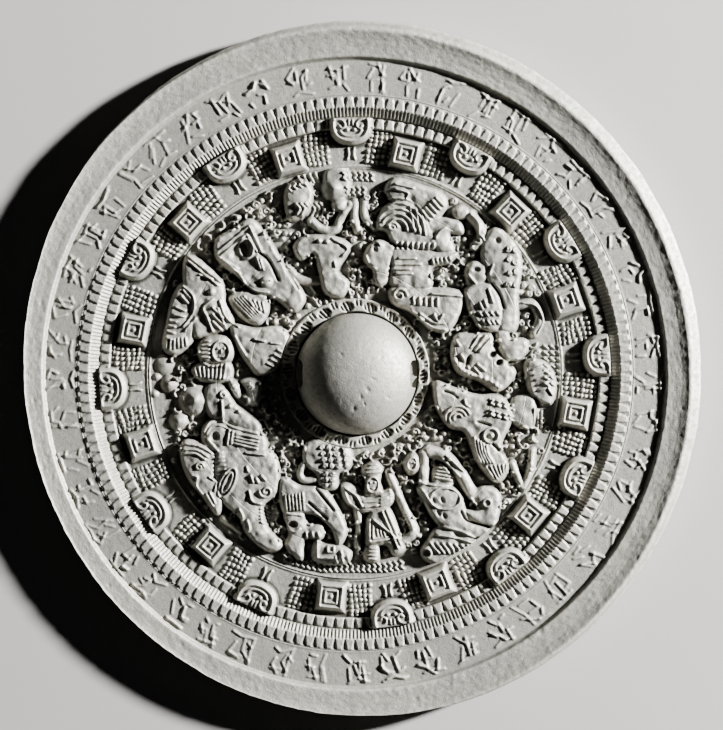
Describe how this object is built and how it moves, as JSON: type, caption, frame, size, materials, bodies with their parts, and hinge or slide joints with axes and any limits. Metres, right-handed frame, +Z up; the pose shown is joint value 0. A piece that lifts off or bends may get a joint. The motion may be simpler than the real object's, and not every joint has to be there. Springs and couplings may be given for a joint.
{
  "type": "ancient bronze mirror",
  "caption": "Round cast bronze mirror lying on its face, its back carrying a raised rim, rings of ornament, relief figures and a pierced boss.",
  "frame": {"origin": "middle of the disc, on the flat spot of the polished face that it lies on", "axes": "+Z up out of the decorated back, along the disc's axis; +Y to the top of the pattern; +X to its right, along the cord hole"},
  "size_m": [0.1964, 0.2016, 0.0152],
  "materials": {
    "cast_bronze": "aged high-tin bronze, pale grey, matte and finely pitted, with thin patina in the hollows"
  },
  "bodies": {
    "root": {"mirror": "cast_bronze"}
  },
  "joints": []
}
